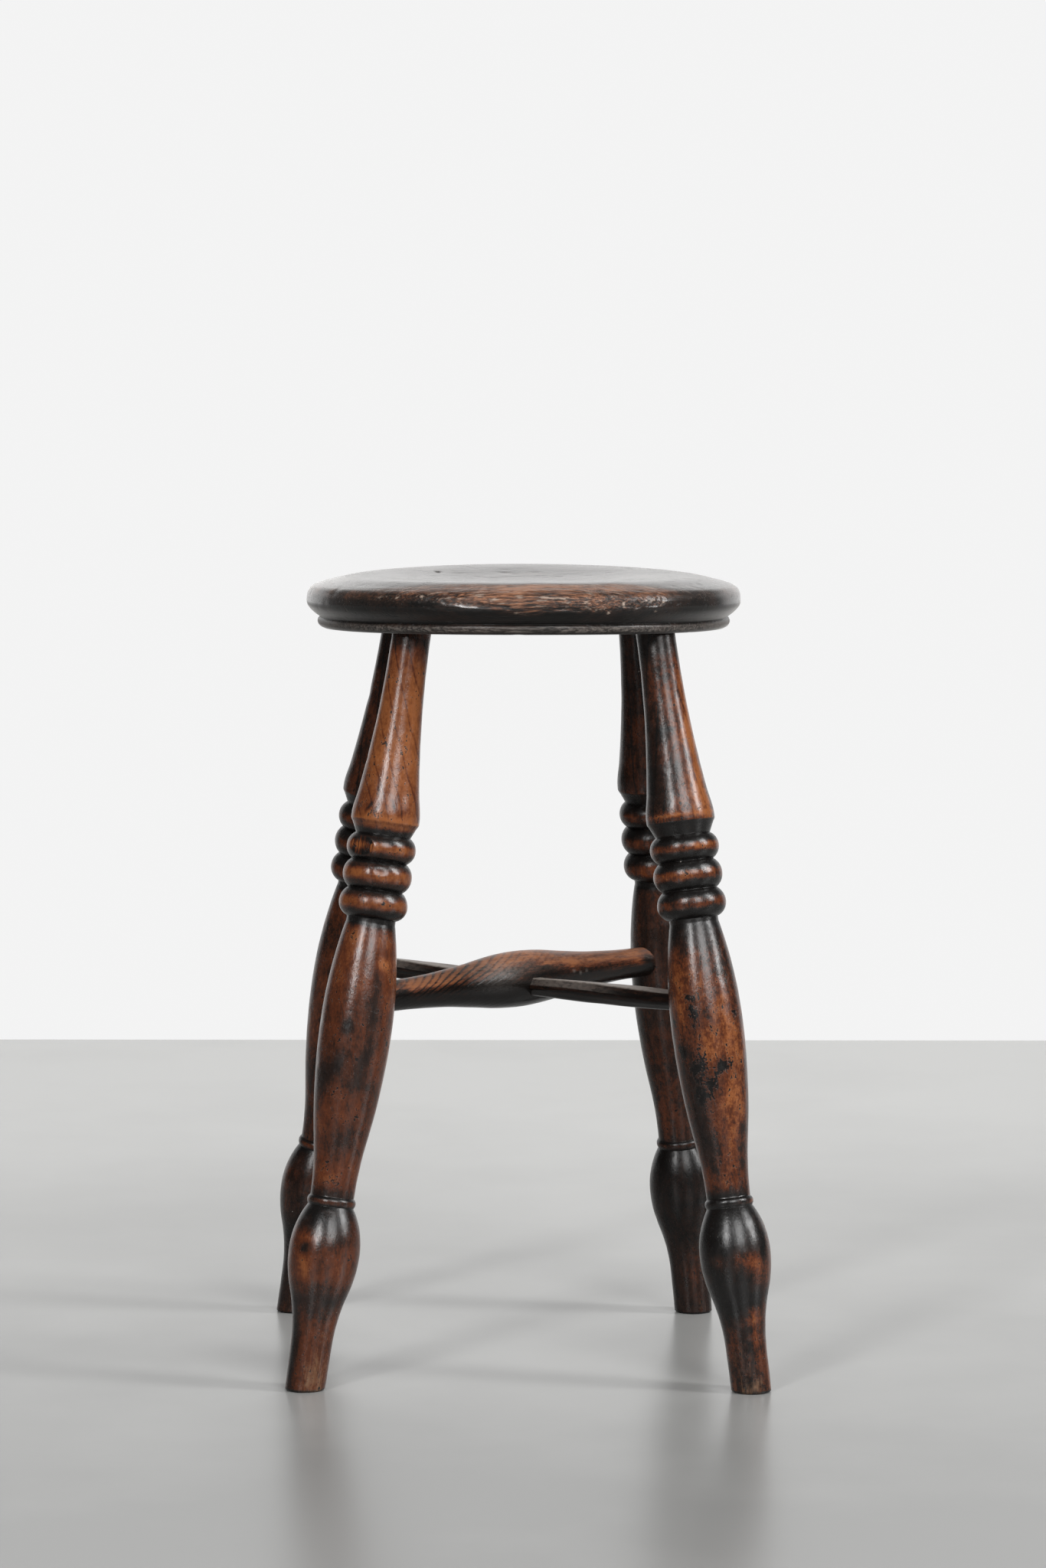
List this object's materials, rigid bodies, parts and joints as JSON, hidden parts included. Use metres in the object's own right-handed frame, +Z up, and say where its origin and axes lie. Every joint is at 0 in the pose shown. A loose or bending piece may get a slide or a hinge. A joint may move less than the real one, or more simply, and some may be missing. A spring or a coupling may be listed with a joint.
{
  "type": "windsor stool",
  "caption": "Tall windsor stool: round dished plank seat, splayed turned legs socketed into its underside, and a cross stretcher with a swelling at its middle.",
  "frame": {"origin": "on the floor, at the middle of the stool's box, about 6 mm from the seat's own axis because the legs splay unevenly", "axes": "+Z up, +X to the right and +Y away from someone who faces the front of the stool"},
  "size_m": [0.3807, 0.3611, 0.596],
  "materials": {
    "seat_elm": "dark stained elm, waxed, with a worn brown edge",
    "leg_wood": "dark stained hardwood, waxed, worn to orange brown on the high parts",
    "stretcher_wood": "dark stained open grained hardwood, waxed"
  },
  "bodies": {
    "root": {"seat": "seat_elm", "front_left_leg": "leg_wood", "front_right_leg": "leg_wood", "back_left_leg": "leg_wood", "back_right_leg": "leg_wood", "main_stretcher": "stretcher_wood", "front_right_half_stretcher": "stretcher_wood", "back_left_half_stretcher": "stretcher_wood"}
  },
  "joints": []
}
